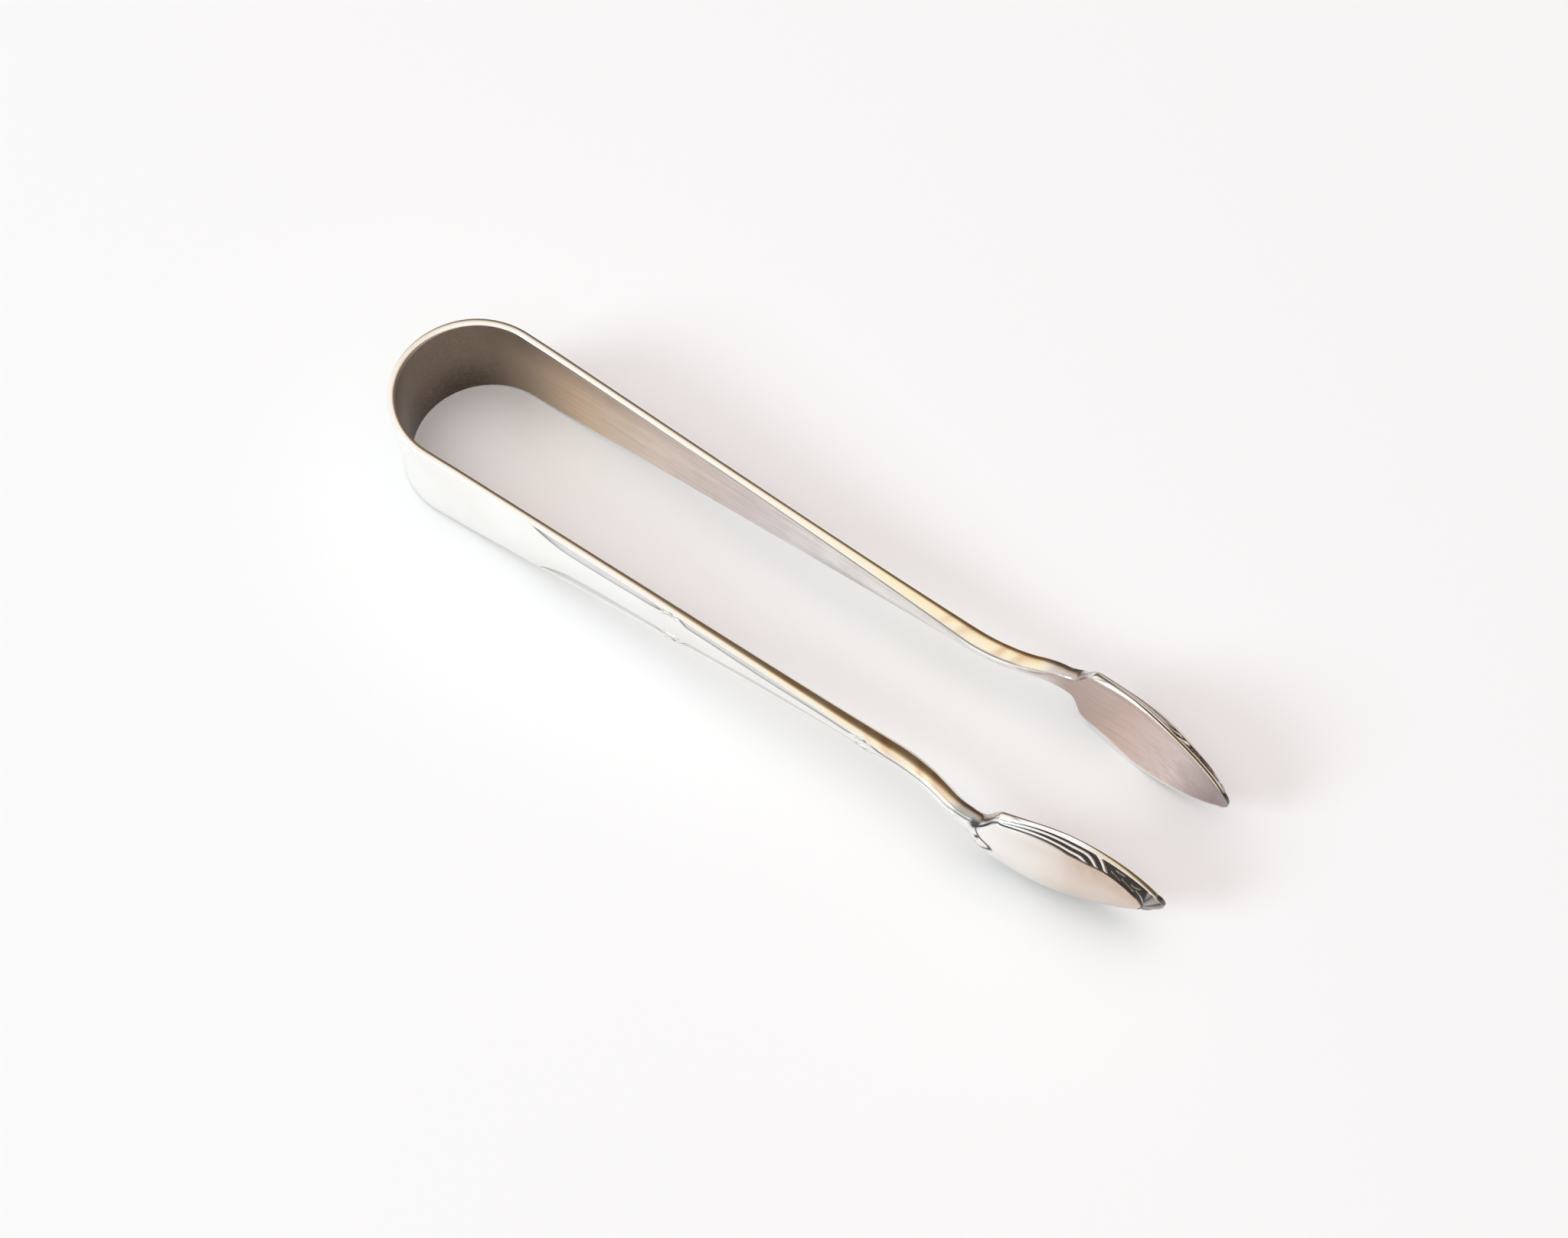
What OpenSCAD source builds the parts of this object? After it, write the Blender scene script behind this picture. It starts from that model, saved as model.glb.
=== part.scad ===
// Sugar tongs: a sprung strip bent into a bow, with two tapering arms that end in leaf-shaped grips.
// They lie on their side: +X runs from the bow to the tips, +Y to the left arm and +Z up.
// The origin is under the middle of the whole, on the surface that the tongs lie on.

/* [Bow] */
// Radius of the bow, to the middle of the strip
bow_r = 9.75; // [7:0.25:14]
// Width of the strip at the crown of the bow
bow_w = 14; // [10:0.5:18]
// Thickness of the sprung strip
strip_t = 1; // [0.7:0.1:1.5]
// Angle on each side of the crown over which the strip keeps its full width
crown_half_angle = 40; // [20:1:60]
// Straight run of the bow past its arc, up to the arm
shoulder_l = 4; // [2:0.5:8]
// Width of the strip where an arm leaves the bow
shoulder_w = 13; // [8:0.1:14]

/* [Arm and stem] */
// Length of an arm, from the end of the bow's arc to its stem
arm_l = 64; // [40:1:80]
// Angle at which each arm leans in
arm_lean = 1.2; // [0:0.1:4]
// Curve of an arm's taper, where 1 is straight
arm_taper = 1.05; // [1:0.05:2]
// Length of the stem that bends out
stem_l = 8.5; // [6:0.5:20]
// Angle by which the stem bends out
stem_bend = 19.5; // [4:0.5:30]
// Width of the stem where it starts
stem_w = 2.8; // [2.4:0.1:6]
// Thickness of the stem
stem_t = 2; // [1.2:0.1:3]
// Length of the neck that bends back in
neck_l = 6; // [4:0.5:10]
// Angle by which the neck bends back in
neck_bend = 30.5; // [8:0.5:45]
// Width of the neck
neck_w = 2.6; // [2.4:0.1:5]
// Thickness of the neck
neck_t = 1.7; // [1.2:0.1:3]
// Radius of the long edges of the arms and grips
edge_r = 0.25; // [0.1:0.05:0.4]
// Radius of the long edges of the stems
stem_edge_r = 0.55; // [0.3:0.05:0.9]
// Swell of a stem's outer face
stem_crown_h = 0.2; // [0.05:0.05:0.5]

/* [Grip] */
// Length of the leaf, from the middle of the neck's bend to the tip
grip_l = 23.5; // [15:0.5:35]
// Greatest width of the leaf
grip_w = 14; // [8:0.5:18]
// Plain run of the neck before the leaf's shoulder
grip_collar_l = 0.7; // [0:0.1:2]
// Distance over which the leaf's shoulder widens
grip_shoulder_l = 2.8; // [1.5:0.1:6]
// Distance from the leaf's start to its widest place
grip_swell_l = 11; // [7:0.5:14]
// Angle by which the leaf turns out along its length
grip_flare = 7.5; // [0:0.5:15]
// Thickness at the rim of the leaf
rim_t = 0.6; // [0.5:0.1:1.6]
// Swell of the leaf's outer face
grip_crown_h = 3; // [0.8:0.1:4]
// Distance over which the heel of the leaf's outer face rises from the neck
heel_l = 2; // [0.8:0.1:4]
// Hollow of the leaf's inner face
grip_dish_h = 1.4; // [0.2:0.1:2]

/* [Flutes of the arms] */
// Width of the bead between an arm's edge and its flute
bead_w = 0.35; // [0.2:0.05:1]
// Width of a flute where it starts
flute_start_w = 0.7; // [0.4:0.1:1.5]
// Width of a flute at its widest
flute_w = 1.5; // [0.8:0.1:2]
// Depth of a flute
flute_depth = 0.2; // [0.1:0.05:0.3]
// Distance from the arm's start to the pointed end of its flutes
flute_start_l = 11.5; // [4:0.5:20]
// Distance over which a flute comes to its full depth
flute_point_l = 4; // [2:0.5:8]
// Distance over which a flute comes to its full width
flute_widen_l = 26; // [10:1:40]
// Distance from the arm's start to the first tie that breaks the flutes
first_tie_l = 30.5; // [18:0.5:36]
// Distance from the arm's start to the second tie
second_tie_l = 57; // [40:0.5:60]
// Length of a tie
tie_l = 1.6; // [1:0.2:3]

/* [Reeds of the grips] */
// Number of reeds in the border
reed_count = 2; // [1:1:4]
// Distance from reed to reed
reed_pitch = 0.58; // [0.3:0.02:0.9]
// Height of a reed
reed_h = 0.16; // [0.06:0.02:0.24]
// Width of the plain rim outside the reeds
rim_w = 0.1; // [0.1:0.05:0.6]
// Distance from the leaf's start to where the reeds end
reed_end_l = 15; // [8:0.5:18]
// Depth of the sunk ground between the reeds' end and the tip
ground_depth = 0.2; // [0.1:0.05:0.3]
// How many times wider the border is at the neck than at the leaf's widest place
neck_border = 0.4; // [0.3:0.05:1]
// How many times wider the border is at the tip than at the leaf's widest place
tip_border = 1.3; // [1:0.1:2.5]

/* [Hidden] */

$fn = 96;
plate_colour = [0.78, 0.77, 0.74];
grip_colour = [0.82, 0.80, 0.77];

// Stations are lengths along the middle of the strip, from the crown of the bow
bow_turn = 90 + arm_lean;
bow_arc_l = bow_r * PI * bow_turn / 180;
seam_s = bow_arc_l + shoulder_l;
stem_s = bow_arc_l + arm_l;
neck_s = stem_s + stem_l;
leaf_s = neck_s + neck_l / 2;

// The route of the left side: each leg has a length and a turn to the left
legs = [
    [bow_arc_l, -bow_turn],
    [arm_l, 0],
    [stem_l, stem_bend],
    [neck_l, -neck_bend],
    [grip_l - neck_l / 2, grip_flare],
];
route_start = [-bow_r, 0, 90];

// The flattest lens shape that a face keeps, so that no face is quite flat
least_crown_h = 0.03;
// Exponents of a face's swell and of a leaf's hollow, where more is flatter in the middle
crown_power = 2.6;
dish_power = 3;
// Exponents by which an arm's thickness gathers towards its stem, and a leaf thins from the neck to its rim
gather_power = 3;
thin_power = 4;
// Exponent of the stem's last change of width into the neck
narrow_power = 4;
// Shares of the leaf's greatest width and swell that its shoulder and its heel have
shoulder_share = 0.55;
heel_share = 0.3;
// Exponents of the leaf's outline from its widest place to the tip
leaf_fall_power = 1.6;
leaf_tip_power = 0.65;
// How closely the neck and the leaf blend into one outline
blend_power = 3;
// Share of a narrow section's half width that a border may take
border_share = 0.86;
// Share of a section's half width or thickness that an edge radius may take
edge_share = 0.4;
// Share of a flute's width that its slope on each side takes
flute_slope = 0.2;
// Shares of the pitch at which a reed starts, peaks and ends
reed_foot = 0.2;
reed_top = 0.55;
reed_far_foot = 0.9;
// Distances over which a tie, the reeds and the ground fade
tie_fade_l = 1.2;
reed_fade_l = 2;
// Distance over which the arm's sharp end at the bow gets its edge radius
edge_run_in_l = 5;

// Numbers of rings along an arm and a grip, and of steps across half a panel and half an inner face
arm_rings = 52;
grip_rings = 34;
panel_steps = 3;
inner_steps = 6;

function ramp(x) = let (c = min(1, max(0, x))) c * c * (3 - 2 * c);

// A point and heading after a length along an arc or a straight line
function leg_end(p, length, turn) =
    abs(turn) < 1e-6
        ? [p.x + length * cos(p.z), p.y + length * sin(p.z), p.z]
        : let (r = length * 180 / PI / turn)
          [p.x + r * (sin(p.z + turn) - sin(p.z)), p.y - r * (cos(p.z + turn) - cos(p.z)), p.z + turn];

// The point and heading at a station of the left side
function route(s, i = 0, p = route_start) =
    i == len(legs) - 1 || s <= legs[i][0]
        ? leg_end(p, s, legs[i][1] * s / legs[i][0])
        : route(s - legs[i][0], i + 1, leg_end(p, legs[i][0], legs[i][1]));

// Width, thickness, edge radius and swell along an arm and its stem
function arm_share(s) = min(1, (s - seam_s) / (stem_s - seam_s));
function stem_share(s) = max(0, (s - stem_s) / (leaf_s - stem_s));
function arm_width(s) =
    s <= stem_s
        ? shoulder_w - (shoulder_w - stem_w) * pow(arm_share(s), arm_taper)
        : neck_w + (stem_w - neck_w) * pow(1 - stem_share(s), narrow_power);
function arm_thickness(s) =
    strip_t + (stem_t - strip_t) * pow(arm_share(s), gather_power) - (stem_t - neck_t) * ramp(stem_share(s));
function arm_edge(s) =
    least_crown_h + (edge_r - least_crown_h) * ramp((s - seam_s) / edge_run_in_l)
    + (stem_edge_r - edge_r) * pow(arm_share(s), gather_power);
function arm_crown(s) = least_crown_h + (stem_crown_h - least_crown_h) * pow(arm_share(s), gather_power);

// Depth and width of an arm's flutes along its length: pointed at the start, broken by the ties
function flute_gate(s) =
    let (x = s - seam_s,
         gates = [for (tie = [first_tie_l, second_tie_l]) ramp((abs(x - tie) - tie_l / 2) / tie_fade_l)])
    ramp((x - flute_start_l) / flute_point_l) * min(gates) * ramp((leaf_s - s) / neck_l);
function flute_width(s) =
    flute_start_w + (flute_w - flute_start_w) * ramp((s - seam_s - flute_start_l) / flute_widen_l);

// Width, thickness, edge radius, swell and hollow along a leaf
function leaf_share(x) =
    x <= grip_swell_l
        ? ramp((x - grip_collar_l) / grip_shoulder_l)
          * (shoulder_share + (1 - shoulder_share) * sin(90 * x / grip_swell_l))
        : pow(max(0, 1 - pow((x - grip_swell_l) / (grip_l - grip_swell_l), leaf_fall_power)), leaf_tip_power);
function root_share(x) = max(0, 1 - x / grip_swell_l);
function grip_width(x) =
    pow(pow(neck_w * root_share(x), blend_power) + pow(grip_w * leaf_share(x), blend_power), 1 / blend_power);
function grip_thickness(x) = rim_t + (neck_t - rim_t) * pow(root_share(x), thin_power);
function grip_edge(x) = edge_r + (stem_edge_r - edge_r) * pow(root_share(x), thin_power);
function swell_share(x) =
    x <= grip_swell_l
        ? heel_share + (1 - heel_share) * sin(90 * x / grip_swell_l)
        : grip_width(x) / grip_w;
function grip_swelling(x) = stem_crown_h + (grip_crown_h * swell_share(x) - stem_crown_h) * ramp(x / heel_l);
function grip_hollow(x) = least_crown_h + grip_dish_h * ramp(x / grip_swell_l) * grip_width(x) / grip_w;

// How many times wider a leaf's border is than at the reeds: narrow at the neck, wide at the tip
function border_scale(x) =
    neck_border + (1 - neck_border) * ramp(x / grip_swell_l)
    + (tip_border - 1) * ramp((x - reed_end_l) / (grip_l - reed_end_l));

// Borders: pairs of a distance from the rounded edge and a height, from the edge inwards
function flute_border(s) =
    let (deep = -flute_depth * flute_gate(s), wide = flute_width(s))
    [
        [bead_w, 0],
        [bead_w + wide * flute_slope, deep],
        [bead_w + wide * (1 - flute_slope), deep],
        [bead_w + wide, 0],
    ];
function reed_border(x) =
    let (reeds = reed_h * ramp((x - reed_fade_l) / reed_fade_l) * ramp((reed_end_l - x) / reed_fade_l),
         ground = -ground_depth * ramp((x - reed_end_l) / reed_fade_l) * ramp((grip_l - x) / reed_fade_l),
         wide = border_scale(x))
    [
        [rim_w * wide, 0],
        for (i = [0 : reed_count - 1]) each [
            [(rim_w + reed_pitch * (i + reed_foot)) * wide, ground],
            [(rim_w + reed_pitch * (i + reed_top)) * wide, ground + reeds],
            [(rim_w + reed_pitch * (i + reed_far_foot)) * wide, ground],
        ],
        [(rim_w + reed_pitch * (reed_count + reed_foot)) * wide, 0],
    ];

// A cross section as a loop of pairs: the place across the width, and the place through the thickness
function section(w, t, edge, crown, dish, border) =
    let (half = w / 2,
         r = min(edge, edge_share * half, edge_share * t),
         fit = min(1, (half * border_share - r) / border[len(border) - 1][0]),
         panel = half - r - fit * border[len(border) - 1][0],
         round = r * (1 - sqrt(0.5)),
         outer = [
             for (k = [0 : panel_steps - 1]) [panel * k / panel_steps, 0],
             for (k = [len(border) - 1 : -1 : 0]) [half - r - fit * border[k][0], fit * border[k][1]],
         ],
         out_half = concat(
             [for (p = outer) [p.x, t / 2 + crown * (1 - pow(p.x / half, crown_power)) + p.y]],
             [[half - round, t / 2 - round], [half, t / 2 - r]]),
         in_half = concat(
             [for (k = [0 : inner_steps - 1])
                 let (a = (half - r) * k / inner_steps) [a, -t / 2 + dish * (1 - pow(a / half, dish_power))]],
             [[half - r, -t / 2], [half - round, -t / 2 + round], [half, -t / 2 + r]]))
    concat(
        [for (k = [len(out_half) - 1 : -1 : 1]) [-out_half[k].x, out_half[k].y]],
        out_half,
        [for (k = [len(in_half) - 1 : -1 : 0]) in_half[k]],
        [for (k = [1 : len(in_half) - 1]) [-in_half[k].x, in_half[k].y]]);

// A ring of points in space: a section set square to the route
function ring(s, loop) =
    let (p = route(s))
    [for (q = loop) [p.x - sin(p.z) * q.y, p.y + cos(p.z) * q.y, q.x]];

function arm_ring(s) =
    ring(s, section(arm_width(s), arm_thickness(s), arm_edge(s), arm_crown(s),
                    least_crown_h, flute_border(s)));
function grip_ring(x) =
    ring(leaf_s + x, section(grip_width(x), grip_thickness(x), grip_edge(x), grip_swelling(x),
                             grip_hollow(x), reed_border(x)));

// Places of a grip's rings, closest together at the neck and the tip
function grip_place(k) = grip_l * (1 - cos(180 * k / grip_rings)) / 2;

// The whole is centred on its length and stands on its widest edge
tip_ring = grip_ring(grip_place(grip_rings - 1));
tip_x = max([for (p = tip_ring) p.x]);
back_x = -bow_r - strip_t / 2;
mid_x = (tip_x + back_x) / 2;
mid_z = max(bow_w, grip_w) / 2;

// A solid through rings that have the same number of points
module loft(rings) {
    n = len(rings[0]);
    last = len(rings) - 1;
    sides = [
        for (i = [0 : last - 1], j = [0 : n - 1])
            let (a = i * n + j, b = i * n + (j + 1) % n)
            each [[a, b + n, b], [a, a + n, b + n]],
    ];
    first_cap = [for (j = [0 : n - 1]) j];
    last_cap = [for (j = [n - 1 : -1 : 0]) last * n + j];
    faces = concat([first_cap, last_cap], sides);
    polyhedron(points = [for (r = rings) each r], faces = faces, convexity = 8);
}

module place() {
    translate([-mid_x, 0, mid_z]) children();
}

module right_side() {
    mirror([0, 1, 0]) children();
}

// Half the bow's width at a place along X, past the crown
seam_x = route(seam_s).x;
crown_x = -(bow_r - strip_t / 2) * cos(crown_half_angle);
function shoulder_half(x) = bow_w / 2 - (bow_w - shoulder_w) / 2 * (x - crown_x) / (seam_x - crown_x);

// The side view of the bow: full width at the crown, drawn in towards the arms
module bow_outline() {
    back = back_x - strip_t;
    front = seam_x + strip_t;
    polygon([
        [back, -bow_w / 2],
        [crown_x, -bow_w / 2],
        [front, -shoulder_half(front)],
        [front, shoulder_half(front)],
        [crown_x, bow_w / 2],
        [back, bow_w / 2],
    ]);
}

// The plan of the bow as a band of full width: the arc and a short straight run on each side
module bow_band() {
    rotate([0, 0, 90 - arm_lean])
        rotate_extrude(angle = 180 + 2 * arm_lean)
            translate([bow_r - strip_t / 2, -bow_w / 2])
                square([strip_t, bow_w]);
    for (side = [0, 1])
        mirror([0, side, 0])
            rotate([0, 0, -arm_lean])
                translate([0, bow_r - strip_t / 2, -bow_w / 2])
                    cube([shoulder_l, strip_t, bow_w]);
}

module bow() {
    color(plate_colour)
        place()
            intersection() {
                bow_band();
                rotate([90, 0, 0])
                    linear_extrude(height = 2 * (bow_r + strip_t), center = true)
                        bow_outline();
            }
}

module arm_solid() {
    step = (leaf_s - seam_s) / arm_rings;
    loft([for (k = [0 : arm_rings]) arm_ring(seam_s + step * k)]);
}

module grip_solid() {
    loft([for (k = [0 : grip_rings - 1]) grip_ring(grip_place(k))]);
}

module left_arm() {
    color(plate_colour) place() arm_solid();
}

module left_grip() {
    color(grip_colour) place() grip_solid();
}

module right_arm() {
    color(plate_colour) place() right_side() arm_solid();
}

module right_grip() {
    color(grip_colour) place() right_side() grip_solid();
}

bow();
left_arm();
left_grip();
right_arm();
right_grip();
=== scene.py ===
import math

import bpy
import numpy as np
from mathutils import Matrix, Vector


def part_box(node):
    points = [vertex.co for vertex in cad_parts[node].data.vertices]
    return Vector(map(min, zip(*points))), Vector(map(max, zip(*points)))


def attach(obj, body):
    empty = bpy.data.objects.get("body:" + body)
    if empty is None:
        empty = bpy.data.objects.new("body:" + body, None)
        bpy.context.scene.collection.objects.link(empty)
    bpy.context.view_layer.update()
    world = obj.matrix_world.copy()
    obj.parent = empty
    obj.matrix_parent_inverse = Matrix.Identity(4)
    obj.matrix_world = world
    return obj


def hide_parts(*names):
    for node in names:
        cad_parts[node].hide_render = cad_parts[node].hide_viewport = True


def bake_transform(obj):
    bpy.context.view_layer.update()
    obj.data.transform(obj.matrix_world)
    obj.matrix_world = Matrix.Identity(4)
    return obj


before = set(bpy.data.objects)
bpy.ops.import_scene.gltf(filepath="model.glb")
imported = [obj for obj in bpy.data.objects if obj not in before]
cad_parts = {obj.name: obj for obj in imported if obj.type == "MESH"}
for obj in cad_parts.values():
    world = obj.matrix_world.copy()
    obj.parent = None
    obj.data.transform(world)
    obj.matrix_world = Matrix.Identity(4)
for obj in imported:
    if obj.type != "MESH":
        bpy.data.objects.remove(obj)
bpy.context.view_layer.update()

# Driving sizes, in millimetres and degrees, as in the part's source
BOW_R = 9.75
BOW_W = 14.0
STRIP_T = 1.0
CROWN_HALF_ANGLE = 40.0
SHOULDER_L = 4.0
SHOULDER_W = 13.0
ARM_L = 64.0
ARM_LEAN = 1.2
ARM_TAPER = 1.05
STEM_L = 8.5
STEM_BEND = 19.5
STEM_W = 2.8
STEM_T = 2.0
NECK_L = 6.0
NECK_BEND = 30.5
NECK_W = 2.6
NECK_T = 1.7
EDGE_R = 0.25
STEM_EDGE_R = 0.55
STEM_CROWN = 0.2
GRIP_L = 23.5
GRIP_W = 14.0
GRIP_COLLAR_L = 0.7
GRIP_SHOULDER_L = 2.8
LEAF_SHOULDER_SHARE = 0.55
GRIP_SWELL = 11.0
GRIP_FLARE = 7.5
RIM_T = 0.6
GRIP_CROWN = 3.0
GRIP_DISH = 1.4
LEAST_CROWN = 0.03
CROWN_POWER = 2.6
DISH_POWER = 3.0
GATHER_POWER = 3.0
THIN_POWER = 4.0
NARROW_POWER = 4.0
LEAF_FALL_POWER = 1.6
LEAF_TIP_POWER = 0.65
BLEND_POWER = 3.0
HEEL_L = 2.0
HEEL_SHARE = 0.3

# The bow draws in smoothly from its crown, and an edge's rounding stays within these shares of the strip
DRAW_EASE = 0.15
EDGE_OF_THICK = 0.45
EDGE_OF_HALF = 0.4

# Flutes of the arms: where each one starts and ends along its arm, and how fast it opens and closes
FLUTES = ((11.3, 29.7, 5.2, 2.4), (31.5, 56.0, 1.6, 2.2), (57.6, 90.0, 1.6, 2.2))
FLUTE_DEPTH = 0.14
FLUTE_POINT = 0.42
FLUTE_BOWL = (0.0, 1.0, 0.35, 0.12)
FLUTE_FADE_L = 2.5
BEAD_W = 0.03
LEAST_ROOM = 0.02
FULL_ROOM = 0.5
# How far the inner line of the flutes lies from the edge, at places along the arm, and the most that it takes
# of a narrow face
LINE_AT = (0.0, 11.0, 17.0, 21.0, 24.0, 28.5, 31.0, 36.0, 40.0, 44.0, 48.0, 52.0, 58.0, 80.0)
LINE_IS = (1.2, 1.9, 2.0, 1.95, 1.7, 1.32, 1.45, 1.38, 1.5, 1.55, 1.2, 0.85, 0.7, 0.7)
LINE_EASE = (-2.0, -1.2, -0.4, 0.4, 1.2, 2.0)
LINE_SHARE = 0.68
LINE_POWER = 8.0
LINE_W = 0.09
LINE_RUN = 0.5
LINE_DEPTH = 0.12
# The line runs on a little past the end of its flute
TAIL_W = 0.07
TAIL_BACK = 0.6
TAIL_ON = 1.6
TAIL_RUN = 0.5
# Darkness of a flute: painted shade of its hollow all over, more towards its line and at its two ends, and
# fine lines along it
SHADE = 0.1
SHADE_ACROSS = 0.14
SHADE_FINE = 0.15
FINE_LINES = 5.5
SHADE_TIPS = 0.4
TIPS_POWER = 1.6
TIPS_START = 0.9
LINE_DARK = 0.76
LINE_DARK_TIPS = 0.2
TAIL_DARK = 0.5
# Ties between the flutes: two crossing lines, and a dot by the edge
TIES = (30.6, 56.9)
TIE_L = 1.1
TIE_REACH = 1.1
TIE_FADE = 0.2
TIE_TILT = 0.4
TIE_LINE_W = 0.075
TIE_FALLING = 0.85
TIE_RISING = 0.6
TIE_DEPTH = 0.1
TIE_DARK = 0.95
DOT_X = 0.1
DOT_L = 0.26
DOT_E = 0.14
DOT_W = 0.2

# Border of a grip: how far the panel's line lies from the rim's corner, at places along the leaf
BORDER_AT = (
    0.0, 2.4, 3.0, 4.0, 5.0, 6.0, 8.0, 10.4, 12.0, 14.0,
    15.0, 16.0, 17.3, 19.0, 20.0, 20.7, 21.2, 21.5, 23.5,
)
BORDER_IS = (
    0.08, 0.1, 0.28, 0.74, 0.88, 1.0, 1.2, 1.42, 1.64, 1.6,
    1.5, 1.38, 1.37, 1.52, 1.72, 2.0, 2.6, 3.6, 9.0,
)
BORDER_EASE = 0.35
RIM_GAP = 0.01
RIM_RUN = 0.06
PANEL_RUN = 0.1
# Its reeds: grooves between them as shares of the border, and how they curl in to the panel past the
# widest place
REED_FIRST = 0.92
REED_STEP = 0.43
REED_COUNT = 3
REED_WIDEST = 12.5
REED_LOWEST = -3.0
REED_HIGHEST = 9.0
HALVINGS = 24
CURL_START = 12.35
CURL_DELAY = 0.65
CURL_RATE = 0.24
CURL_POWER = 2.2
GROOVE_DEPTH = 0.2
REED_RISE = 0.22
REED_SHINE = 0.9
REEDS_BEGIN = 3.3
REEDS_RUN = 1.5
# What changes along a grip: where the change starts, how long it takes, the value before and the value after
REED_HALF = (5.0, 6.0, 0.42, 0.29)
GROUND_GREY = (4.5, 4.0, 0.48, 1.0)
PANEL_LINE_W = (3.0, 3.0, 0.18, 0.1)
TIP_DARK = (22.2, 0.5, 0.0, 0.7)
# Raised strokes on the sunk ground past the reeds: start and end along the leaf, share of the border at each
STROKES = (
    (16.8, 18.05, 0.58, 0.80),
    (18.15, 19.8, 0.60, 0.76),
    (20.0, 21.3, 0.56, 0.66),
    (17.25, 18.4, 0.28, 0.22),
    (19.3, 20.4, 0.46, 0.24),
)
STROKE_W = 0.06
STROKE_POWER = 1.8
STROKE_ALONG = (-0.05, 1.05, 0.2, 0.15)
STROKE_RISE = 0.16
STROKE_SHINE = 0.75
# Shell at the tip: its ribs fan out from a point on the middle line
SHELL_CENTRE = 20.4
SHELL_START = 21.1
SHELL_RUN = 0.4
SHELL_RIBS = 5.0
SHELL_POWER = 0.8
SHELL_RISE = 0.2
SHELL_DARK = 0.97
SHELL_SHINE = 0.42
# Line round the panel, and at its root a chevron, two branches and the knots that they start from
PANEL_LINE_BACK = 0.06
PANEL_LINE_ALONG = (0.6, 21.6, 0.3, 0.4)
CHEVRON_TIP = 3.5
CHEVRON_DROP = 2.1
CHEVRON_HALF = 1.5
CHEVRON_MOST = 2
CHEVRON_POWER = 1.8
CHEVRON_W = 0.26
CHEVRON_REACH = 1.8
CHEVRON_FADE = 0.2
BRANCH_X = 1.9
BRANCH_A = 0.9
BRANCH_TILT = 0.5
BRANCH_W = 0.2
BRANCH_MIDDLE = 0.85
BRANCH_HALF_L = 0.35
BRANCH_SHARE = 0.9
KNOT_X = 1.2
KNOT_L = 0.5
KNOT_W = 0.4
KNOT_RUN = 0.3
KNOT_ON_EDGE = 0.5
KNOT_FADE = 0.25
KNOT_DEPTH = 0.04
# These marks are drawn stronger than 1 and held at 1, so that their middles are evenly dark
KNOT_CORE = 2
MARKS_CORE = 1.6
MARKS_CUT = 0.4
CUT_DEPTH = 0.14
CUT_UP_TO = 0.8
DARKEST = 0.98
# Dark lines on the edge of the stem and the grip: darkness, place across at the leaf's root, drift across,
# width, and the stretch that each takes, counted from that root
EDGE_LINES = (
    (0.9, 0.2, 0.0, 0.15, -3.5, 1.0, 2.5, 0.4),
    (0.9, 0.06, 0.0, 0.14, 0.5, 3.2, 0.3, 0.5),
    (0.6, 0.78, -0.16, 0.09, 1.4, 4.4, 0.4, 0.6),
    (0.5, 1.775, -0.25, 0.09, 3.3, 6.4, 0.4, 0.8),
    # painted shade: a thin dark line along the inner corner of each edge, from the arm to the neck
    (0.8, 0.9, 0.0, 0.06, -52.0, -4.0, 6.0, 3.0),
)

# The edges lean: inwards along the stem, outwards near the tip; places are counted from the root of the leaf
DRAFT_AT = (-70.0, -45.0, -18.0, -8.0, -5.0, -2.0, 0.3, 1.5, 3.0, 6.0, 9.0, 12.0, 23.5)
DRAFT_IS = (0.0, 0.04, 0.28, 0.28, 0.16, 0.03, -0.02, -0.04, 0.02, 0.04, 0.0, -0.2, -0.2)
SHOULDER_DRAFT = 0.15
SHOULDER_DRAFT_AT = 2.0
SHOULDER_DRAFT_L = 0.9
STEM_BULGE = 0.3
STEM_BULGE_ALONG = (-42.0, 2.0, 22.0, 4.0)
NECK_EASE = 0.3
NECK_EASE_ALONG = (-2.5, 5.0, 1.5, 1.5)
# Least width of the neck as it runs out into the shoulder of the leaf
FILL_AT = (-5.0, -3.5, -2.5, -1.0, 0.0, 0.6, 1.2, 1.7, 2.1, 2.4, 2.8, 3.4)
FILL_IS = (0.0, 1.5, 2.2, 2.75, 3.15, 3.5, 4.05, 4.75, 5.4, 5.8, 5.0, 0.0)
FILL_EASE = 0.4
FILL_POWER = 6
EASE_SAMPLES = 9
# The leaf's rim is this much thinner than in the source, and its tip is rounded
RIM_THINNING = (4.0, 4.0, 1.0, 0.75)
TIP_R = 2.2
NOSE_L = 0.6
NOSE_T = 0.25

# Stations are lengths along the middle of the strip, from the crown of the bow
BOW_TURN = 90.0 + ARM_LEAN
BOW_ARC_L = math.radians(BOW_TURN) * BOW_R
SEAM_S = BOW_ARC_L + SHOULDER_L
STEM_S = BOW_ARC_L + ARM_L
NECK_S = STEM_S + STEM_L
LEAF_S = NECK_S + NECK_L / 2
LEGS = (
    (BOW_ARC_L, -BOW_TURN),
    (ARM_L, 0.0),
    (STEM_L, STEM_BEND),
    (NECK_L, -NECK_BEND),
    (GRIP_L - NECK_L / 2, GRIP_FLARE),
)
# The bow's plate ends here on each side; past it the strip is part of its arm's plate
CROWN_S = 7.5

MM = 0.001
bow_low, bow_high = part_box("bow")
PLACE_X = bow_low.x / MM + BOW_R + STRIP_T / 2
PLACE_Z = (bow_low.z + bow_high.z) / 2 / MM


def ramp(x):
    c = np.clip(x, 0.0, 1.0)
    return c * c * (3 - 2 * c)


def bump_at(x, width):
    return np.exp(-((x / width) ** 2))


def stretch(x, start, end, run_in, run_out):
    """1 between two places, with a smooth run past the first and before the second, and 0 beyond them."""
    return ramp((x - start) / run_in) * ramp((end - x) / run_out)


def eased(x, start, run, before, after):
    """One value up to a place and another past it, with a smooth run between them."""
    return before + (after - before) * ramp((x - start) / run)


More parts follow.
